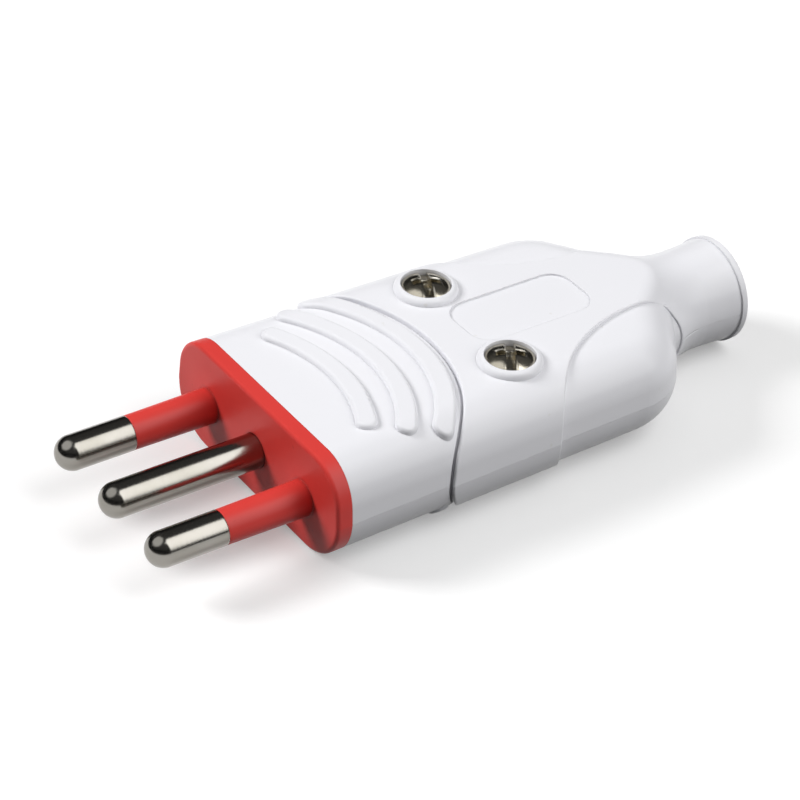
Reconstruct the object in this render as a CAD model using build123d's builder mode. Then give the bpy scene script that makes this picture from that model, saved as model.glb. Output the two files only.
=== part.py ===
from build123d import *
from math import asin, degrees, sqrt
import os

# Rewirable three-pin plug, lying flat on its lower shell.
# X runs from the pins to the cord inlet, Y across the plug, Z up. Sizes are in millimetres.
# The origin is where the middle pin's axis meets the engagement face.

# Contact pins
pin_pitch = 9.5
pin_diameter = 4.0
pin_length = 19.0
dome_height = 1.8
sleeve_diameter = 3.95
sleeve_length = 10.2
sleeve_draft = 0.5
shank_diameter = 3.0
anchor_diameter = 5.0
anchor_start = 5.6
anchor_length = 1.2

# Screw terminals behind the pins
terminal_start = 9.4
terminal_length = 9.0
terminal_size = 5.6
terminal_edge = 0.5
wire_hole_diameter = 3.0
wire_hole_depth = 7.0
terminal_screw_diameter = 2.9
terminal_head_diameter = 4.4
terminal_head_height = 1.5
slot_width = 0.8
slot_depth = 0.7

# Housing
body_front_width = 32.4
body_rear_width = 30.2
upper_height = 6.6
lower_height = 6.0
upper_edge = 5.0
lower_edge = 6.0
body_draft = 5.0
shoulder_start = 46.2
shoulder_radius = 8.5
tail_end = 52.6
tail_width = 12.2
tail_radius = 7.5
wall = 1.8

# Raised grip band, its groove, the crescent ribs and the sunk pad
band_height = 0.4
band_front = 22.3
band_edge = 0.2
grip_radius = 20.7
groove_width = 0.3
groove_depth = 0.3
rib_front = 9.0
rib_pitch = 5.0
rib_width = 2.4
upper_rib_height = 0.6
lower_rib_height = 0.3
rib_corner = 1.1
rib_edge = 0.45
rib_reaches = (10.9, 13.4, 14.9)
scoop_end = 47.0
spine_width = 12.0
spine_end = 50.5
pad_start = 26.6
pad_length = 16.2
pad_width = 8.0
pad_corner = 2.6
pad_depth = 0.2

# Neck and cord inlet
neck_radius = 15.2
neck_blend = 3.0
waist_x = 58.0
waist_diameter = 11.86
neck_end = 63.6
bell_diameter = 12.3
lip_height = 0.2
lip_width = 0.9
lip_edge = 0.3
inlet_diameter = 8.0
mouth_diameter = 10.4
mouth_length = 3.0

# Pin carrier
plate_thickness = 1.9
plate_edge = 0.45
carrier_waist_width = 25.0
carrier_waist_height = 7.0
rim_depth = 2.2
divider_thickness = 1.2
divider_length = 10.0

# Screws and nuts that close the housing
cover_x = 27.4
cover_spread = 16.1
cover_boss_diameter = 7.4
cover_boss_height = 0.8
cover_boss_edge = 0.75
cover_head_diameter = 5.5
cover_head_edge = 1.75
cover_head_dome = 0.8
cover_head_sink = 0.3
cover_screw_diameter = 2.9
cover_screw_length = 11.45
recess_width = 1.0
recess_depth = 1.2
cross_length = 3.2
cross_depth = 1.7
screw_turns = (66.0, 57.5)
pillar_wall = 1.1
nut_across_flats = 5.5
nut_height = 2.4
nut_sink = 0.5

# Cord clamp
clamp_x = 38.0
clamp_width = 5.0
clamp_length = 19.0
clamp_thickness = 1.4
clamp_spread = 13.4
clamp_cord_diameter = 6.2
clamp_screw_diameter = 2.9
clamp_screw_length = 5.4
clamp_head_diameter = 4.6
clamp_head_height = 1.5
clamp_pillar_diameter = 5.6
cradle_width = 2.4
cradle_length = 7.6

# Clearances
fit_gap = 0.15
thread_gap = 0.03
screw_gap = 0.25

upper_face = upper_height + band_height
lower_face = lower_height + band_height
front_margin = lower_edge
body_taper = (body_front_width - body_rear_width) / 2 / shoulder_start
pin_rows = (pin_pitch, 0, -pin_pitch)
cover_rows = (cover_spread / 2, -cover_spread / 2)
clamp_rows = (clamp_spread / 2, -clamp_spread / 2)
seat_depth = (pin_diameter - shank_diameter) / 2
rim_end = plate_thickness + rim_depth
terminal_end = terminal_start + terminal_length
cover_seat = upper_face + cover_boss_height - cover_head_sink - cover_head_edge

os.makedirs("parts", exist_ok=True)


def half_width(x):
    # Half the housing's width at the parting plane
    return body_front_width / 2 - body_taper * x


def body_form(height, edge, grow=0, shoulders=True):
    # One half of the rounded slab, from the parting plane up, with drafted sides, grown outwards by grow
    right = [(-front_margin, -half_width(-front_margin))]
    if shoulders:
        right += [(shoulder_start, -half_width(shoulder_start)), (tail_end, -tail_width / 2)]
    else:
        right += [(tail_end, -half_width(tail_end))]
    left = [(x, -y) for x, y in reversed(right)]
    with BuildPart() as form:
        with BuildSketch() as plan:
            with BuildLine():
                Polyline(*right, *left, close=True)
            make_face()
            if shoulders:
                columns = plan.vertices().group_by(Axis.X)
                fillet(columns[1], shoulder_radius)
                fillet(columns[2], tail_radius)
            if grow:
                offset(amount=grow, kind=Kind.INTERSECTION, mode=Mode.REPLACE)
        extrude(amount=height + grow, taper=body_draft)
        rims = form.faces().sort_by(Axis.Z)[-1].edges().sort_by(Axis.X)[1:]
        fillet(rims, edge + grow)
    return form.part


def grip_band(height, edge):
    # Raised band round the middle of the housing, running on as a spine to the neck
    scoop = spine_width / 2 + grip_radius
    with BuildPart() as band:
        add(body_form(height, edge, band_height, shoulders=False))
        with BuildSketch():
            with Locations((scoop_end / 2, 0)):
                Rectangle(scoop_end, 2 * body_front_width)
            with Locations((band_front - grip_radius, 0)):
                Circle(grip_radius, mode=Mode.SUBTRACT)
            with Locations((scoop_end, scoop), (scoop_end, -scoop)):
                Circle(grip_radius, mode=Mode.SUBTRACT)
        extrude(amount=2 * height, mode=Mode.INTERSECT)
        end = band.faces().sort_by(Axis.X)[-1]
        base = band.faces().sort_by(Axis.Z)[0]
        uprights = band.faces().filter_by(GeomType.CYLINDER).filter_by(lambda f: f.radius == grip_radius)
        fillet(uprights.edges() - end.edges() - base.edges(), band_edge)
    return band.part


def groove_form(height, edge):
    # Narrow groove along the front of the band
    with BuildPart() as groove:
        with BuildSketch():
            with Locations((band_front - grip_radius, 0)):
                Circle(grip_radius)
                Circle(grip_radius - groove_width, mode=Mode.SUBTRACT)
        extrude(amount=2 * height)
        add(body_form(height, edge, -groove_depth), mode=Mode.SUBTRACT)
    return groove.part


def rib_form(height, edge, rise, index):
    # One crescent rib that stands up by rise
    crown = rib_front + index * rib_pitch + rib_width
    spread = degrees(asin(rib_reaches[index] / grip_radius))
    centre = (crown - grip_radius, 0)
    with BuildPart() as rib:
        add(body_form(height, edge, rise, shoulders=False))
        with BuildSketch() as plan:
            with BuildLine():
                outside = CenterArc(centre, grip_radius, -spread, 2 * spread)
                inside = CenterArc(centre, grip_radius - rib_width, -spread, 2 * spread)
                Line(outside @ 0, inside @ 0)
                Line(outside @ 1, inside @ 1)
            make_face()
            fillet(plan.vertices(), rib_corner)
        extrude(amount=2 * height, mode=Mode.INTERSECT)
        fillet(rib.faces().sort_by(Axis.Z)[-1].edges(), rib_edge)
    return rib.part


def neck_form(face):
    # Turned neck that widens into the body at one end and flares to the cord lip at the other,
    # cut flat where it runs into the spine
    waist = waist_diameter / 2
    bell = bell_diameter / 2
    root_length = waist_x - scoop_end
    root = waist + neck_radius - sqrt(neck_radius**2 - root_length**2)
    with BuildPart() as neck:
        with BuildSketch(Plane.XZ) as profile:
            with BuildLine():
                sweep = TangentArc((waist_x, waist), (scoop_end, root), tangent=(-1, 0))
                flare = TangentArc((waist_x, waist), (neck_end - lip_width, bell), tangent=(1, 0))
                lip = [(neck_end - lip_width, bell + lip_height), (neck_end, bell + lip_height)]
                Polyline(flare @ 1, *lip, (neck_end, 0), (scoop_end, 0), sweep @ 1)
            make_face()
            fillet(profile.vertices().group_by(Axis.X)[-1].sort_by(Axis.Y)[-1], lip_edge)
        revolve(axis=Axis.X)
        split(bisect_by=Plane.XY, keep=Keep.TOP)
        split(bisect_by=Plane.XY.offset(face), keep=Keep.BOTTOM)
        flat = neck.faces().filter_by(Plane.XY).sort_by(Axis.Z)[-1]
        fillet(flat.edges().sort_by(Axis.X)[-1], neck_blend)
        with BuildSketch():
            with Locations(((scoop_end + spine_end) / 2, 0)):
                Rectangle(spine_end - scoop_end, 2 * body_front_width)
                Rectangle(spine_end - scoop_end, spine_width, mode=Mode.SUBTRACT)
        extrude(amount=2 * face, mode=Mode.SUBTRACT)
        sides = neck.faces().filter_by(Plane.XZ)
        rims = sides.edges().filter_by(lambda e: e.center().Z > 0 and scoop_end < e.center().X < spine_end)
        fillet(rims, band_edge)
    return neck.part


def outer_form(height, edge, rib_height):
    # Outside of one shell, solid, from the parting plane up
    with BuildPart() as outer:
        add(body_form(height, edge))
        split(bisect_by=Plane.YZ.offset(plate_thickness), keep=Keep.TOP)
        add(groove_form(height, edge), mode=Mode.SUBTRACT)
        add(grip_band(height, edge))
        add(neck_form(height + band_height))
        for index in range(len(rib_reaches)):
            add(rib_form(height, edge, rib_height, index))
    return outer.part


def both_halves(grow):
    # Whole slab, grown outwards by grow
    with BuildPart() as slab:
        add(body_form(upper_height, upper_edge, grow))
        mirror(body_form(lower_height, lower_edge, grow), about=Plane.XY)
    return slab.part


def inner_room():
    # Space inside the shells: the wiring room, the window for the carrier and the cord inlet
    with BuildPart() as room:
        add(both_halves(-wall))
        split(bisect_by=Plane.YZ.offset(rim_end), keep=Keep.TOP)
        with BuildSketch(Plane.YZ.offset(plate_thickness)):
            Rectangle(carrier_waist_width + 2 * fit_gap, carrier_waist_height + 2 * fit_gap)
        extrude(amount=rim_depth + wall)
        with BuildSketch(Plane.XZ):
            with BuildLine():
                Polyline(
                    (shoulder_start, 0),
                    (shoulder_start, inlet_diameter / 2),
                    (neck_end - mouth_length, inlet_diameter / 2),
                    (neck_end, mouth_diameter / 2),
                    (neck_end, 0),
                    close=True,
                )
            make_face()
        revolve(axis=Axis.X)
    return room.part


def screw_at(x, y, seat, shank, length, head):
    # Round shank under a cylindrical head whose underside is at height seat
    head_diameter, head_height = head
    with Locations((x, y, seat)):
        Cylinder(head_diameter / 2, head_height, align=(Align.CENTER, Align.CENTER, Align.MIN))
        Cylinder(shank / 2, length, align=(Align.CENTER, Align.CENTER, Align.MAX))


def pin_form(y, bare):
    # Turned pin with a domed tip, an anchor collar in the carrier and a drilled terminal block
    tip = pin_diameter / 2
    thick_end = 0 if bare else -sleeve_length
    shoulder_end = seat_depth if bare else -sleeve_length
    dome_radius = (tip**2 + dome_height**2) / (2 * dome_height)
    dome_turn = degrees(asin(tip / dome_radius))
    with BuildPart() as pin:
        with BuildSketch(Plane.XZ.offset(-y)):
            with BuildLine():
                dome = CenterArc((dome_radius - pin_length, 0), dome_radius, 180 - dome_turn, dome_turn)
                Line(dome @ 0, (thick_end, tip))
                if bare:
                    Line((thick_end, tip), (shoulder_end, shank_diameter / 2))
                    Line((shoulder_end, shank_diameter / 2), (shoulder_end, 0))
                else:
                    Line((thick_end, tip), (thick_end, 0))
                Line((shoulder_end, 0), dome @ 1)
            make_face()
        revolve(axis=Axis((0, y, 0), (1, 0, 0)))
        for start, end, diameter in (
            (shoulder_end, terminal_start, shank_diameter),
            (anchor_start, anchor_start + anchor_length, anchor_diameter),
        ):
            with BuildSketch(Plane.YZ.offset(start)):
                with Locations((y, 0)):
                    Circle(diameter / 2)
            extrude(amount=end - start)
        with BuildSketch(Plane.YZ.offset(terminal_start)):
            with Locations((y, 0)):
                RectangleRounded(terminal_size, terminal_size, terminal_edge)
        extrude(amount=terminal_length)
        with BuildSketch(Plane.YZ.offset(terminal_end)):
            with Locations((y, 0)):
                Circle(wire_hole_diameter / 2)
        extrude(amount=-wire_hole_depth, mode=Mode.SUBTRACT)
        with BuildSketch(Plane.XY):
            with Locations((terminal_end - wire_hole_depth / 2, y)):
                Circle(terminal_screw_diameter / 2 + thread_gap)
        extrude(amount=terminal_size, mode=Mode.SUBTRACT)
    return pin.part


room = inner_room()

with BuildPart() as cover_bosses:
    with BuildSketch():
        with Locations(*[(cover_x, y) for y in cover_rows]):
            Circle(cover_boss_diameter / 2)
    extrude(amount=upper_face + cover_boss_height)
    fillet(cover_bosses.edges().group_by(Axis.Z)[-1], cover_boss_edge)

with BuildPart() as upper_shell:
    add(outer_form(upper_height, upper_edge, upper_rib_height))
    with BuildSketch(Plane.XY.offset(upper_face)):
        with Locations((pad_start + pad_length / 2, 0)):
            RectangleRounded(pad_length, pad_width, pad_corner)
    extrude(amount=-pad_depth, mode=Mode.SUBTRACT)
    add(room, mode=Mode.SUBTRACT)
    add(cover_bosses.part)
    for y in cover_rows:
        with BuildSketch(Plane.XY):
            with Locations((cover_x, y)):
                Circle(cover_screw_diameter / 2 + screw_gap)
        extrude(amount=cover_seat, mode=Mode.SUBTRACT)
        with BuildSketch(Plane.XY.offset(cover_seat)):
            with Locations((cover_x, y)):
                Circle(cover_head_diameter / 2 + fit_gap)
        extrude(amount=cover_head_edge + cover_head_dome + cover_head_sink, mode=Mode.SUBTRACT)
upper_shell.part.label = "upper_shell"
export_step(upper_shell.part, "parts/upper_shell.step")

nut_seat = nut_sink + nut_height - lower_face
with BuildPart() as lower_shell:
    mirror(outer_form(lower_height, lower_edge, lower_rib_height), about=Plane.XY)
    add(room, mode=Mode.SUBTRACT)
    nut_corner = nut_across_flats / 2 + fit_gap
    for y in cover_rows:
        with BuildSketch(Plane.XY):
            with Locations((cover_x, y)):
                Circle(nut_corner + pillar_wall)
        extrude(amount=wall / 2 - lower_height)
        with BuildSketch(Plane.XY):
            with Locations((cover_x, y)):
                Circle(cover_screw_diameter / 2 + screw_gap)
        extrude(amount=-lower_height, mode=Mode.SUBTRACT)
        with BuildSketch(Plane.XY.offset(nut_seat)):
            with Locations((cover_x, y)):
                RegularPolygon(nut_corner, 6, major_radius=False)
        extrude(amount=-lower_face, mode=Mode.SUBTRACT)
    for y in clamp_rows:
        with BuildSketch(Plane.XY):
            with Locations((clamp_x, y)):
                Circle(clamp_pillar_diameter / 2)
        extrude(amount=wall / 2 - lower_height)
        with BuildSketch(Plane.XY):
            with Locations((clamp_x, y)):
                Circle(clamp_screw_diameter / 2 + thread_gap)
        extrude(amount=wall - lower_height, mode=Mode.SUBTRACT)
    with BuildSketch(Plane.YZ.offset(clamp_x - cradle_width / 2)):
        with Locations((0, wall / 2 - lower_height)):
            Rectangle(cradle_length, lower_height - wall / 2, align=(Align.CENTER, Align.MIN))
        Circle(clamp_cord_diameter / 2, mode=Mode.SUBTRACT)
    extrude(amount=cradle_width)
lower_shell.part.label = "lower_shell"
export_step(lower_shell.part, "parts/lower_shell.step")

with BuildPart() as flange:
    add(both_halves(-wall - fit_gap))
    split(bisect_by=Plane.YZ.offset(rim_end), keep=Keep.TOP)
    split(bisect_by=Plane.YZ.offset(terminal_start), keep=Keep.BOTTOM)

with BuildPart() as pin_carrier:
    add(both_halves(0))
    split(bisect_by=Plane.YZ.offset(plate_thickness), keep=Keep.BOTTOM)
    split(bisect_by=Plane.YZ, keep=Keep.TOP)
    fillet(pin_carrier.faces().sort_by(Axis.X)[0].edges(), plate_edge)
    with BuildSketch(Plane.YZ.offset(plate_thickness)):
        Rectangle(carrier_waist_width, carrier_waist_height)
    extrude(amount=rim_depth)
    flange_height = upper_height + lower_height - 2 * wall - 2 * fit_gap
    flange_middle = (upper_height - lower_height) / 2
    add(flange.part)
    with BuildSketch(Plane.YZ.offset(terminal_start)):
        with Locations((pin_pitch / 2, flange_middle), (-pin_pitch / 2, flange_middle)):
            Rectangle(divider_thickness, flange_height)
    extrude(amount=divider_length)
    with BuildSketch(Plane.YZ.offset(-sleeve_length)):
        with Locations((pin_pitch, 0), (-pin_pitch, 0)):
            Circle(sleeve_diameter / 2)
    extrude(amount=sleeve_length, taper=-sleeve_draft)
    with BuildSketch(Plane.YZ):
        Circle(pin_diameter / 2 + thread_gap)
    extrude(amount=seat_depth, taper=45, mode=Mode.SUBTRACT)
    with BuildSketch(Plane.YZ.offset(-sleeve_length)):
        with Locations(*[(y, 0) for y in pin_rows]):
            Circle(shank_diameter / 2 + thread_gap)
    extrude(amount=sleeve_length + terminal_start, mode=Mode.SUBTRACT)
    with BuildSketch(Plane.YZ.offset(anchor_start - thread_gap)):
        with Locations(*[(y, 0) for y in pin_rows]):
            Circle(anchor_diameter / 2 + thread_gap)
    extrude(amount=anchor_length + 2 * thread_gap, mode=Mode.SUBTRACT)
pin_carrier.part.label = "pin_carrier"
export_step(pin_carrier.part, "parts/pin_carrier.step")

for name, y in zip(("line_pin", "earth_pin", "neutral_pin"), pin_rows):
    pin = pin_form(y, bare=name == "earth_pin")
    pin.label = name
    export_step(pin, f"parts/{name}.step")

with BuildPart() as terminal_screws:
    head_top = terminal_size / 2 + terminal_head_height
    screw_x = terminal_end - wire_hole_depth / 2
    for y in pin_rows:
        screw_at(screw_x, y, terminal_size / 2, terminal_screw_diameter, terminal_size / 2,
                 (terminal_head_diameter, terminal_head_height))
    with BuildSketch(Plane.XY.offset(head_top)):
        with Locations(*[(screw_x, y) for y in pin_rows]):
            Rectangle(slot_width, terminal_head_diameter)
    extrude(amount=-slot_depth, mode=Mode.SUBTRACT)
terminal_screws.part.label = "terminal_screws"
export_step(terminal_screws.part, "parts/terminal_screws.step")

with BuildPart() as cord_clamp:
    with BuildSketch(Plane.YZ.offset(clamp_x - clamp_width / 2)):
        Rectangle(clamp_length, clamp_thickness, align=(Align.CENTER, Align.MIN))
        Circle(clamp_cord_diameter / 2 + clamp_thickness)
        Circle(clamp_cord_diameter / 2, mode=Mode.SUBTRACT)
        Rectangle(clamp_length, clamp_length, align=(Align.CENTER, Align.MAX), mode=Mode.SUBTRACT)
    extrude(amount=clamp_width)
    with BuildSketch(Plane.XY):
        with Locations(*[(clamp_x, y) for y in clamp_rows]):
            Circle(clamp_screw_diameter / 2 + screw_gap)
    extrude(amount=clamp_thickness, mode=Mode.SUBTRACT)
cord_clamp.part.label = "cord_clamp"
export_step(cord_clamp.part, "parts/cord_clamp.step")

with BuildPart() as clamp_screws:
    for y in clamp_rows:
        screw_at(clamp_x, y, clamp_thickness, clamp_screw_diameter, clamp_screw_length,
                 (clamp_head_diameter, clamp_head_height))
    with BuildSketch(Plane.XY.offset(clamp_thickness + clamp_head_height)):
        with Locations(*[(clamp_x, y) for y in clamp_rows]):
            Rectangle(clamp_head_diameter, slot_width)
    extrude(amount=-slot_depth, mode=Mode.SUBTRACT)
clamp_screws.part.label = "clamp_screws"
export_step(clamp_screws.part, "parts/clamp_screws.step")

with BuildPart() as cover_screws:
    head_top = cover_seat + cover_head_edge + cover_head_dome
    for y in cover_rows:
        with BuildSketch(Plane.XZ.offset(-y)):
            with BuildLine():
                rim = (cover_x + cover_head_diameter / 2, cover_seat + cover_head_edge)
                crown = (cover_x, head_top)
                mirrored = (cover_x - cover_head_diameter / 2, cover_seat + cover_head_edge)
                ThreePointArc(rim, crown, mirrored)
                Polyline(mirrored, (mirrored[0], cover_seat), (rim[0], cover_seat), rim)
            make_face()
            split(bisect_by=Plane.YZ.offset(cover_x), keep=Keep.TOP)
        revolve(axis=Axis((cover_x, y, 0), (0, 0, 1)))
        with Locations((cover_x, y, cover_seat)):
            Cylinder(cover_screw_diameter / 2, cover_screw_length, align=(Align.CENTER, Align.CENTER, Align.MAX))
        for length, turn, depth in (
            (2 * cover_head_diameter, 0, recess_depth),
            (cross_length, 0, cross_depth),
            (cross_length, 90, cross_depth),
        ):
            with BuildSketch(Plane.XY.offset(head_top)):
                with Locations(Location((cover_x, y), screw_turns[cover_rows.index(y)] + turn)):
                    Rectangle(length, recess_width)
            extrude(amount=-depth, mode=Mode.SUBTRACT)
cover_screws.part.label = "cover_screws"
export_step(cover_screws.part, "parts/cover_screws.step")

with BuildPart() as cover_nuts:
    with BuildSketch(Plane.XY.offset(nut_seat)):
        with Locations(*[(cover_x, y) for y in cover_rows]):
            RegularPolygon(nut_across_flats / 2, 6, major_radius=False)
            Circle(cover_screw_diameter / 2 + thread_gap, mode=Mode.SUBTRACT)
    extrude(amount=-nut_height)
cover_nuts.part.label = "cover_nuts"
export_step(cover_nuts.part, "parts/cover_nuts.step")
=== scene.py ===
from math import radians

import bpy
import numpy as np
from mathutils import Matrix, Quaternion, Vector


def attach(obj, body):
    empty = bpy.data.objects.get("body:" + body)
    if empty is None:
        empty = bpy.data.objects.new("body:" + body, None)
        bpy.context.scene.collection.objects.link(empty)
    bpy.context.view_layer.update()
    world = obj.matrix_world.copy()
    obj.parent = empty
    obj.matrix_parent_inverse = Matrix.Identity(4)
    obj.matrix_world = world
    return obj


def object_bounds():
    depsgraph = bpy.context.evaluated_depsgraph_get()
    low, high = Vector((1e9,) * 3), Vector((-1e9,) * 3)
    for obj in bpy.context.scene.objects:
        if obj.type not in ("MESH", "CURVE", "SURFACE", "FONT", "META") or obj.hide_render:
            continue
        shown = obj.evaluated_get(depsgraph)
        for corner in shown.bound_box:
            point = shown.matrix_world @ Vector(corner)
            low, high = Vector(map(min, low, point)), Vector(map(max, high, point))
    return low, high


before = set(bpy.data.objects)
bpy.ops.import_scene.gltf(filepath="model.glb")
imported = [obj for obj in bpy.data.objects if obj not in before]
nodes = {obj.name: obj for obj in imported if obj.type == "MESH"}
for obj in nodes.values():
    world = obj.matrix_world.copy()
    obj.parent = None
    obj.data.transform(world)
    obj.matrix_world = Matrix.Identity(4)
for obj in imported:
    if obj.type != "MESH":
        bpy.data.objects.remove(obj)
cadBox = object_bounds()
print("frame loaded:", len(nodes), "nodes")

bpy.context.scene.view_settings.view_transform = "Standard"


def newMaterial(name):
    material = bpy.data.materials.new(name)
    material.use_nodes = True
    material.node_tree.nodes.clear()
    return material, material.node_tree


def addNode(tree, kind, settings=None, **inputs):
    # settings go on the node itself, inputs on its sockets by name or as i0, i1: another node's output
    # is linked and a plain value is set
    node = tree.nodes.new(kind)
    for key, value in (settings or {}).items():
        setattr(node, key, value)
    for key, value in inputs.items():
        byNumber = key[0] == "i" and key[1:].isdigit()
        socket = node.inputs[int(key[1:]) if byNumber else key.replace("_", " ")]
        if isinstance(value, bpy.types.NodeSocket):
            tree.links.new(value, socket)
        else:
            socket.default_value = value
    return node


def noise(tree, coords, scale, detail):
    return addNode(tree, "ShaderNodeTexNoise", Vector=coords, Scale=scale, Detail=detail).outputs["Fac"]


def ramp(tree, value, low, high, first=0.0, last=1.0):
    # straight line from first at low to last at high, held at both ends
    return addNode(
        tree, "ShaderNodeMapRange",
        Value=value, From_Min=low, From_Max=high, To_Min=first, To_Max=last,
    ).outputs[0]


def maths(tree, operation, *terms):
    inputs = {"i%d" % place: term for place, term in enumerate(terms)}
    return addNode(tree, "ShaderNodeMath", {"operation": operation}, **inputs).outputs[0]


def mixColour(tree, mask, first, second):
    return addNode(tree, "ShaderNodeMix", {"data_type": "RGBA"}, i0=mask, i6=first, i7=second).outputs[2]


def newGroup(name, inputs, outputs):
    tree = bpy.data.node_groups.new(name, "ShaderNodeTree")
    for label, kind, value in inputs:
        socket = tree.interface.new_socket(label, in_out="INPUT", socket_type="NodeSocket" + kind)
        if value is not None:
            socket.default_value = value
    for label, kind in outputs:
        tree.interface.new_socket(label, in_out="OUTPUT", socket_type="NodeSocket" + kind)
    return tree, tree.nodes.new("NodeGroupInput").outputs, tree.nodes.new("NodeGroupOutput").inputs


grainLook = {"pebbleShare": 0.12, "speckScale": 900.0, "speckEdge": (0.76, 0.82)}
rubLook = {"samples": 6, "turned": (0.995, 0.85), "patchScale": 700.0, "patchEdge": (0.35, 0.65)}
# settings for the painted shade in corners and grooves
creaseShadeLook = {
    "samples": 8, "open": (0.85, 0.35),
    "patchScale": 500.0, "patchEdge": (0.2, 0.8), "patchLevel": (0.6, 1.0),
}


def makeMouldGrain(look):
    # moulded plastic: slow flow marks, a fine pebble on top of them and a few pin-head specks
    tree, given, out = newGroup(
        "mouldGrain",
        [("Coords", "Vector", None), ("Flow", "Float", 120.0), ("Pebble", "Float", 3000.0)],
        [("Height", "Float"), ("Tone", "Float"), ("Specks", "Float")],
    )
    flow = noise(tree, given["Coords"], given["Flow"], 3.0)
    pebble = noise(tree, given["Coords"], given["Pebble"], 2.0)
    specks = noise(tree, given["Coords"], look["speckScale"], 1.0)
    tree.links.new(maths(tree, "MULTIPLY_ADD", pebble, look["pebbleShare"], flow), out["Height"])
    tree.links.new(flow, out["Tone"])
    tree.links.new(ramp(tree, specks, *look["speckEdge"]), out["Specks"])
    return tree


def makeEdgeRub(look):
    # where the rounded normal leaves the face's own normal an edge is near, and handling breaks it up
    tree, given, out = newGroup(
        "edgeRub",
        [("Width", "Float", 0.0003), ("Coords", "Vector", None)],
        [("Edge", "Float"), ("Normal", "Vector")],
    )
    bevel = addNode(tree, "ShaderNodeBevel", {"samples": look["samples"]}, Radius=given["Width"])
    rounded = bevel.outputs["Normal"]
    plain = addNode(tree, "ShaderNodeNewGeometry").outputs["Normal"]
    along = addNode(tree, "ShaderNodeVectorMath", {"operation": "DOT_PRODUCT"}, i0=rounded, i1=plain)
    edge = ramp(tree, along.outputs["Value"], *look["turned"])
    broken = ramp(tree, noise(tree, given["Coords"], look["patchScale"], 4.0), *look["patchEdge"])
    tree.links.new(maths(tree, "MULTIPLY", edge, broken), out["Edge"])
    tree.links.new(rounded, out["Normal"])
    return tree


def makeCreaseShade(look):
    # painted shade in corners and grooves, where shade falls: the less open the surface within reach,
    # the darker, broken up in patches
    tree, given, out = newGroup(
        "paintedCreaseShade",
        [("Reach", "Float", 0.0008), ("Coords", "Vector", None)],
        [("PaintedShade", "Float")],
    )
    nearby = addNode(
        tree, "ShaderNodeAmbientOcclusion", {"samples": look["samples"]}, Distance=given["Reach"]
    )
    shut = ramp(tree, nearby.outputs["AO"], *look["open"])
    patches = noise(tree, given["Coords"], look["patchScale"], 3.0)
    patchy = ramp(tree, patches, *look["patchEdge"], *look["patchLevel"])
    tree.links.new(maths(tree, "MULTIPLY", shut, patchy), out["PaintedShade"])
    return tree


mouldGrain = makeMouldGrain(grainLook)
edgeRub = makeEdgeRub(rubLook)
paintedCreaseShade = makeCreaseShade(creaseShadeLook)
print("grain, edge and dust groups built")


def useGroup(tree, group, **inputs):
    return addNode(tree, "ShaderNodeGroup", {"node_tree": group}, **inputs).outputs


def finishMaterial(tree, shader):
    out = addNode(tree, "ShaderNodeOutputMaterial")
    tree.links.new(shader.outputs[0], out.inputs[0])


# the colour mixed into corners and grooves is painted shade, darker than the body colour
housingLook = {
    "colour": (0.86, 0.86, 0.89, 1), "colourFar": (0.83, 0.83, 0.865, 1),
    "edgeColour": (0.89, 0.89, 0.915, 1), "speckColour": (0.79, 0.785, 0.79, 1),
    "shadeColour": (0.76, 0.76, 0.79, 1), "flow": 60.0, "pebble": 2600.0, "edgeWidth": 0.00012,
    "rough": (0.26, 0.34), "bump": 0.05, "bumpDepth": 0.0001, "ior": 1.42, "reach": 0.0008,
}
# the red's colour for corners and grooves is painted shade too
carrierLook = {
    "colour": (0.73, 0.055, 0.046, 1), "colourFar": (0.65, 0.047, 0.04, 1),
    "edgeColour": (0.76, 0.11, 0.095, 1), "speckColour": (0.5, 0.035, 0.03, 1),
    "shadeColour": (0.3, 0.025, 0.022, 1), "flow": 160.0, "pebble": 2600.0, "edgeWidth": 0.0002,
    "rough": (0.36, 0.48), "bump": 0.12, "bumpDepth": 0.0001, "ior": 1.38, "reach": 0.0008,
}


def makePlastic(name, look):
    material, tree = newMaterial(name)
    coords = addNode(tree, "ShaderNodeTexCoord").outputs["Object"]
    grain = useGroup(tree, mouldGrain, Coords=coords, Flow=look["flow"], Pebble=look["pebble"])
    rub = useGroup(tree, edgeRub, Width=look["edgeWidth"], Coords=coords)
    shade = useGroup(tree, paintedCreaseShade, Reach=look["reach"], Coords=coords)
    colour = mixColour(tree, grain["Tone"], look["colour"], look["colourFar"])
    colour = mixColour(tree, grain["Specks"], colour, look["speckColour"])
    colour = mixColour(tree, rub["Edge"], colour, look["edgeColour"])
    # painted shade: a darker colour mixed in where the surface is closed in, in corners and grooves
    colour = mixColour(tree, shade["PaintedShade"], colour, look["shadeColour"])
    rough = ramp(tree, grain["Tone"], 0.0, 1.0, *look["rough"])
    bump = addNode(
        tree, "ShaderNodeBump",
        Strength=look["bump"], Distance=look["bumpDepth"], Height=grain["Height"], Normal=rub["Normal"],
    )
    shader = addNode(
        tree, "ShaderNodeBsdfPrincipled",
        Base_Color=colour, Roughness=rough, IOR=look["ior"], Normal=bump.outputs[0],
    )
    finishMaterial(tree, shader)
    return material


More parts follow.
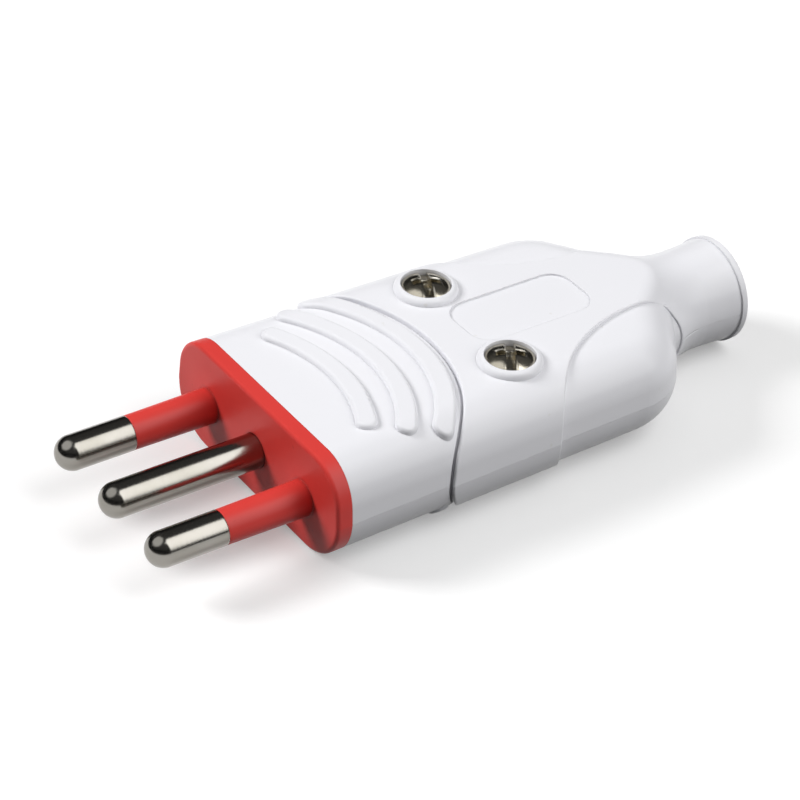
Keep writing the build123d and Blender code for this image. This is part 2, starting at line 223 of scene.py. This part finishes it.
pinLook = {
    "colour": (0.3, 0.287, 0.262, 1), "colourFilm": (0.265, 0.252, 0.222, 1),
    "edgeColour": (0.4, 0.385, 0.355, 1), "edgeWidth": 0.0002, "film": 260.0, "filmEdge": (0.3, 0.7),
    "ringScale": (9000.0, 60.0, 60.0), "dragScale": (60.0, 5000.0, 5000.0), "dragShare": 0.5,
    "rough": (0.15, 0.23), "bump": 0.2, "bumpDepth": 0.00002,
}
screwLook = {
    "colour": (0.66, 0.62, 0.52, 1), "colourFilm": (0.5, 0.46, 0.37, 1),
    "edgeColour": (0.78, 0.75, 0.68, 1), "edgeWidth": 0.0005, "film": 500.0, "filmEdge": (0.3, 0.7),
    "ringScale": (2500.0, 2500.0, 200.0), "dragScale": (400.0, 4000.0, 400.0), "dragShare": 0.5,
    "rough": (0.12, 0.24), "bump": 0.3, "bumpDepth": 0.00002,
}


def makeMetal(name, look):
    # plated metal: rings round the turning axis, fine drag marks along it and a dull film in patches
    material, tree = newMaterial(name)
    coords = addNode(tree, "ShaderNodeTexCoord").outputs["Object"]
    rub = useGroup(tree, edgeRub, Width=look["edgeWidth"], Coords=coords)
    rings = addNode(tree, "ShaderNodeMapping", Vector=coords, Scale=look["ringScale"]).outputs[0]
    drag = addNode(tree, "ShaderNodeMapping", Vector=coords, Scale=look["dragScale"]).outputs[0]
    film = noise(tree, coords, look["film"], 4.0)
    colour = mixColour(tree, ramp(tree, film, *look["filmEdge"]), look["colour"], look["colourFilm"])
    colour = mixColour(tree, rub["Edge"], colour, look["edgeColour"])
    rough = ramp(tree, film, 0.0, 1.0, *look["rough"])
    marks = noise(tree, drag, 1.0, 4.0)
    height = maths(tree, "MULTIPLY_ADD", marks, look["dragShare"], noise(tree, rings, 1.0, 3.0))
    bump = addNode(
        tree, "ShaderNodeBump",
        Strength=look["bump"], Distance=look["bumpDepth"], Height=height, Normal=rub["Normal"],
    )
    shader = addNode(
        tree, "ShaderNodeBsdfPrincipled",
        Base_Color=colour, Metallic=1.0, Roughness=rough, Normal=bump.outputs[0],
    )
    finishMaterial(tree, shader)
    return material


finishes = {
    "housingWhite": (makePlastic, housingLook, ("upper_shell", "lower_shell")),
    "carrierRed": (makePlastic, carrierLook, ("pin_carrier", "cord_clamp")),
    "pinNickel": (makeMetal, pinLook, ("line_pin", "earth_pin", "neutral_pin")),
    "screwPlated": (
        makeMetal, screwLook, ("terminal_screws", "clamp_screws", "cover_screws", "cover_nuts"),
    ),
}
materials = {}
for finish, (make, look, names) in finishes.items():
    materials[finish] = make(finish, look)
    for name in names:
        for slot in nodes[name].material_slots:
            slot.material = materials[finish]
    print("finish", finish, "on", ", ".join(names))


# sizes in metres, angles in degrees from the top of the neck, which is a circle arc turned about X;
# the profile's points are millimetres along the neck and shares of the rise
reliefLook = {
    "waistPlace": 0.058, "waistRadius": 0.00593, "sweep": 0.0152,
    "tip": 0.0533, "reach": 0.0032, "power": 2.1, "fullTurn": 44.1, "startTurn": 47.6, "fade": 3.0,
    "rise": 0.00022, "boost": 0.9, "boostTurn": 14.0, "sunk": 0.15, "depth": 0.00015, "steps": 40,
    "profile": (
        (-0.06, -0.5), (-0.05, 0.45), (0.0, 0.86), (0.08, 1.0), (0.3, 0.93), (0.8, 0.65),
        (1.4, 0.33), (2.2, 0.1), (2.8, 0.03), (3.4, -0.02), (4.2, -0.09),
    ),
}


def neckRadius(x, look):
    # the neck's arc: waist radius plus the sag of the sweep at that distance from the waist
    away = look["waistPlace"] - x
    return look["waistRadius"] + look["sweep"] - np.sqrt(look["sweep"] ** 2 - away**2)


def makeRelief(name, look, half):
    # low lip where the neck overlaps the wing's tip: a wedge profile carried round the neck on the curve
    # x = tip - reach * (angle from the side / full turn)^power, on both sides of one shell
    turn = np.linspace(look["startTurn"], 90.0, look["steps"])
    line = look["tip"] - look["reach"] * ((90.0 - turn) / look["fullTurn"]) ** look["power"]
    begun = turn - look["startTurn"]
    swell = np.clip(begun / look["fade"], 0.0, 1.0)
    swell = (swell * swell * (3.0 - 2.0 * swell))[:, None]
    taller = 1.0 + look["boost"] * np.clip(1.0 - begun / look["boostTurn"], 0.0, 1.0)[:, None]
    along, up = np.array(look["profile"]).T
    along = np.concatenate([along, along[::-1]]) * 0.001
    top = np.concatenate([up, np.zeros_like(up)])
    under = np.concatenate([np.zeros_like(up), np.ones_like(up)])
    x = line[:, None] + along[None, :]
    lift = look["rise"] * (top * (swell * taller) - look["sunk"] * (1.0 - swell)) - look["depth"] * under
    radius = neckRadius(x, look) + lift
    angle = np.radians(turn)[:, None]
    rows, columns = x.shape
    here = np.arange(columns)
    start = np.arange(rows - 1)[:, None] * columns
    first, second = start + here, start + (here + 1) % columns
    quads = np.stack([first, first + columns, second + columns, second], axis=-1).reshape(-1, 4)
    caps = np.stack([here, here[::-1] + (rows - 1) * columns])
    points, faces = [], []
    for side in (-1.0, 1.0):
        shape = np.stack([x, side * radius * np.sin(angle), half * radius * np.cos(angle)], axis=-1)
        order = 1 if side * half < 0 else -1  # so that the faces point outwards
        shift = len(points) * rows * columns
        faces += (quads[:, ::order] + shift).tolist() + (caps[:, ::order] + shift).tolist()
        points.append(shape.reshape(-1, 3))
    mesh = bpy.data.meshes.new(name)
    mesh.from_pydata(np.concatenate(points).tolist(), [], faces)
    mesh.polygons.foreach_set("use_smooth", np.ones(len(mesh.polygons), dtype=bool))
    mesh.materials.append(materials["housingWhite"])
    piece = bpy.data.objects.new(name, mesh)
    bpy.context.scene.collection.objects.link(piece)
    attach(piece, "root")


makeRelief("neckReliefUpper", reliefLook, 1.0)
makeRelief("neckReliefLower", reliefLook, -1.0)
print("neck relief on both shells")


# levels: shown is what the camera and mirrors see, bounce and fill are what lights the part
floorLook = {"half": 3.0, "shown": 0.78, "lift": (0.26, 1.0), "fade": (0.25, 0.7), "bounce": 0.03}
lightLook = {
    "leftBox": {"place": (-0.406, 0.385, 0.42), "size": (0.28, 0.28), "power": 4.1, "mirrored": False},
    "rightBox": {"place": (0.385, -0.43, 0.555), "size": (0.54, 1.0), "power": 5.0, "mirrored": True},
}
worldLook = {"fill": 0.27, "shown": 1.0}
# dark cloth round the table, glowing at a set level instead of being lit: a wall from the floor up to an
# angle in degrees, which also keeps low light off, and over it a roof with a round opening, which only
# mirrors see
clothLook = {
    "radius": 1.4, "wallTop": 28.0, "axis": (-0.48, 0.24, 0.84), "opening": 29.0,
    "levels": (0.02, 0.07), "steps": (72, 12),
}


def rayLevel(tree, look, hidden):
    # what the camera, mirrors and clear glass see, and what only lights
    path = addNode(tree, "ShaderNodeLightPath").outputs
    seen = maths(tree, "MAXIMUM", path["Is Camera Ray"], path["Is Transmission Ray"])
    seen = maths(tree, "MAXIMUM", seen, path["Is Glossy Ray"])
    return ramp(tree, seen, 0.0, 1.0, hidden, look["shown"]), seen


def makeCloth(look):
    # rows of directions round the table: wall and roof run straight from one row to the next and are
    # pushed out onto one sphere
    around, up = look["steps"]
    turn = np.linspace(0.0, 2.0 * np.pi, around, endpoint=False)[:, None]
    foot = np.stack([np.cos(turn), np.sin(turn), np.zeros_like(turn)], axis=-1)
    rise = radians(look["wallTop"])
    eaves = foot * np.cos(rise) + np.array([0.0, 0.0, np.sin(rise)])
    axis = np.array(look["axis"]) / np.linalg.norm(look["axis"])
    side = foot - (foot @ axis)[..., None] * axis
    side = side / np.linalg.norm(side, axis=-1, keepdims=True)
    opening = radians(look["opening"])
    rim = axis * np.cos(opening) + side * np.sin(opening)
    share = np.linspace(0.0, 1.0, up)[None, :, None]
    here = (np.arange(around)[:, None] * up + np.arange(up - 1)[None, :]).ravel()
    following = (here + up) % (around * up)
    faces = np.stack([here, here + 1, following + 1, following], axis=1)
    cloths = (("studioWall", foot, eaves, True), ("studioRoof", eaves, rim, False))
    for (name, low, high, shades), level in zip(cloths, look["levels"]):
        material, tree = newMaterial(name)
        # painted reflection: the cloth is not lit but glows at its level, and the roof stands in for
        # dark surroundings seen only in metal and gloss
        finishMaterial(tree, addNode(tree, "ShaderNodeEmission", Strength=level))
        shape = low + (high - low) * share
        shape = look["radius"] * shape / np.linalg.norm(shape, axis=-1, keepdims=True)
        mesh = bpy.data.meshes.new(name)
        mesh.from_pydata(shape.reshape(-1, 3).tolist(), [], faces.tolist())
        mesh.materials.append(material)
        cloth = bpy.data.objects.new(name, mesh)
        cloth.visible_camera = cloth.visible_transmission = False
        cloth.visible_diffuse = cloth.visible_shadow = shades
        bpy.context.scene.collection.objects.link(cloth)


def makeFloor(look):
    # flat square grid at the part's lowest point; far out, where the lamps fade, the lift keeps it pale
    count = 3
    steps = np.linspace(-look["half"], look["half"], count)
    x, y = np.meshgrid(steps, steps)
    points = np.stack([x.ravel(), y.ravel(), np.full(x.size, cadBox[0].z)], axis=1)
    corner = (np.arange(count - 1)[:, None] * count + np.arange(count - 1)[None, :]).ravel()
    faces = np.stack([corner, corner + 1, corner + count + 1, corner + count], axis=1)
    mesh = bpy.data.meshes.new("studioFloor")
    mesh.from_pydata(points.tolist(), [], faces.tolist())
    floor = bpy.data.objects.new("studioFloor", mesh)
    bpy.context.scene.collection.objects.link(floor)
    material, tree = newMaterial("studioFloor")
    level, seen = rayLevel(tree, look, look["bounce"])
    diffuse = addNode(tree, "ShaderNodeBsdfDiffuse", Color=level)
    coords = addNode(tree, "ShaderNodeTexCoord").outputs["Object"]
    away = addNode(tree, "ShaderNodeVectorMath", {"operation": "LENGTH"}, i0=coords).outputs["Value"]
    lift = maths(tree, "MULTIPLY", seen, ramp(tree, away, *look["fade"], *look["lift"]))
    glow = addNode(tree, "ShaderNodeEmission", Strength=lift)
    finishMaterial(tree, addNode(tree, "ShaderNodeAddShader", i0=diffuse.outputs[0], i1=glow.outputs[0]))
    mesh.materials.append(material)


def makeLights(look, world):
    for name, box in look.items():
        data = bpy.data.lights.new(name, "AREA")
        data.shape = "RECTANGLE"
        data.size, data.size_y = box["size"]
        data.energy = box["power"]
        lamp = bpy.data.objects.new(name, data)
        lamp.location = box["place"]
        lamp.visible_glossy = box["mirrored"]
        lamp.rotation_mode = "QUATERNION"
        lamp.rotation_quaternion = (-Vector(box["place"])).to_track_quat("-Z", "Y")
        bpy.context.scene.collection.objects.link(lamp)
    sky = bpy.data.worlds.new("studioWorld")
    sky.use_nodes = True
    tree = sky.node_tree
    tree.nodes.clear()
    level, _ = rayLevel(tree, world, world["fill"])
    back = addNode(tree, "ShaderNodeBackground", Color=(1, 1, 1, 1), Strength=level)
    out = addNode(tree, "ShaderNodeOutputWorld")
    tree.links.new(back.outputs[0], out.inputs[0])
    bpy.context.scene.world = sky


cameraLook = {
    "place": (-0.140901, -0.216562, 0.194023), "aim": (0.018737, -0.0002, 0.0), "roll": 3.724,
    "lens": 135.24, "sensor": 36.0,
}


def makeCamera(look):
    data = bpy.data.cameras.new("photoCamera")
    data.lens = look["lens"]
    data.sensor_width = look["sensor"]
    camera = bpy.data.objects.new("photoCamera", data)
    camera.location = look["place"]
    sight = Vector(look["aim"]) - Vector(look["place"])
    roll = Quaternion((0, 0, 1), radians(look["roll"]))
    camera.rotation_mode = "QUATERNION"
    camera.rotation_quaternion = sight.to_track_quat("-Z", "Y") @ roll
    bpy.context.scene.collection.objects.link(camera)
    bpy.context.scene.camera = camera


makeFloor(floorLook)
makeCloth(clothLook)
makeLights(lightLook, worldLook)
makeCamera(cameraLook)
print("floor, lights and camera set")
